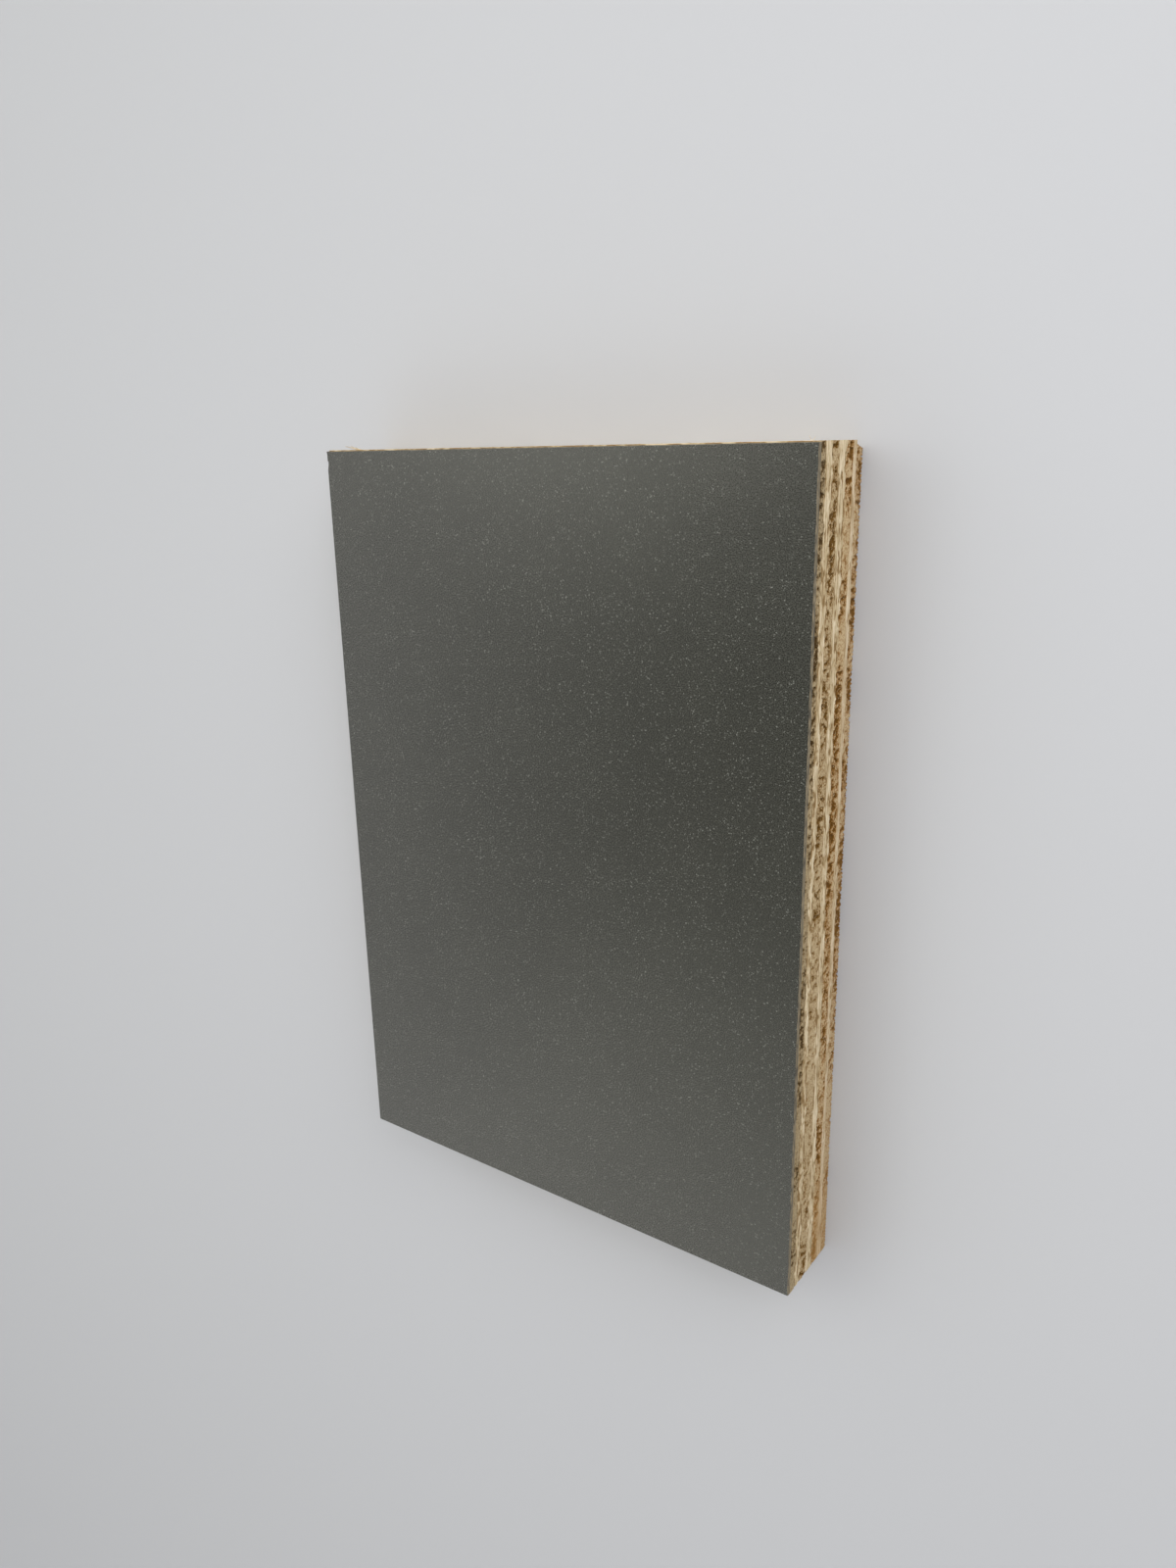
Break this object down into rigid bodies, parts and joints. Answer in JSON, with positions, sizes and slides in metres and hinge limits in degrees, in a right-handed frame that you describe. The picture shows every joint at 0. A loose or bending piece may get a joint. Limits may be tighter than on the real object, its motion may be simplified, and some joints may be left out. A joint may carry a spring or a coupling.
{
  "type": "plywood sheet",
  "caption": "Small rectangular panel of plywood with a grey laminate on its face and bare sawn edges that show the crossed veneers; raw sheet stock.",
  "frame": {"origin": "middle of the bare back, on the surface that the panel lies on", "axes": "+X across the face to the right, +Y up the length of the face, +Z out of the grey face"},
  "size_m": [0.1, 0.144, 0.0158],
  "materials": {
    "grey_laminate": "fine textured satin",
    "cross_veneer": "sawn, grain across the panel",
    "long_veneer": "sawn, grain up the panel"
  },
  "bodies": {
    "root": {"face_laminate": "grey_laminate", "ply_1": "cross_veneer", "ply_2": "long_veneer", "ply_3": "cross_veneer", "ply_4": "long_veneer", "ply_5": "cross_veneer", "ply_6": "long_veneer", "ply_7": "cross_veneer"}
  },
  "joints": []
}
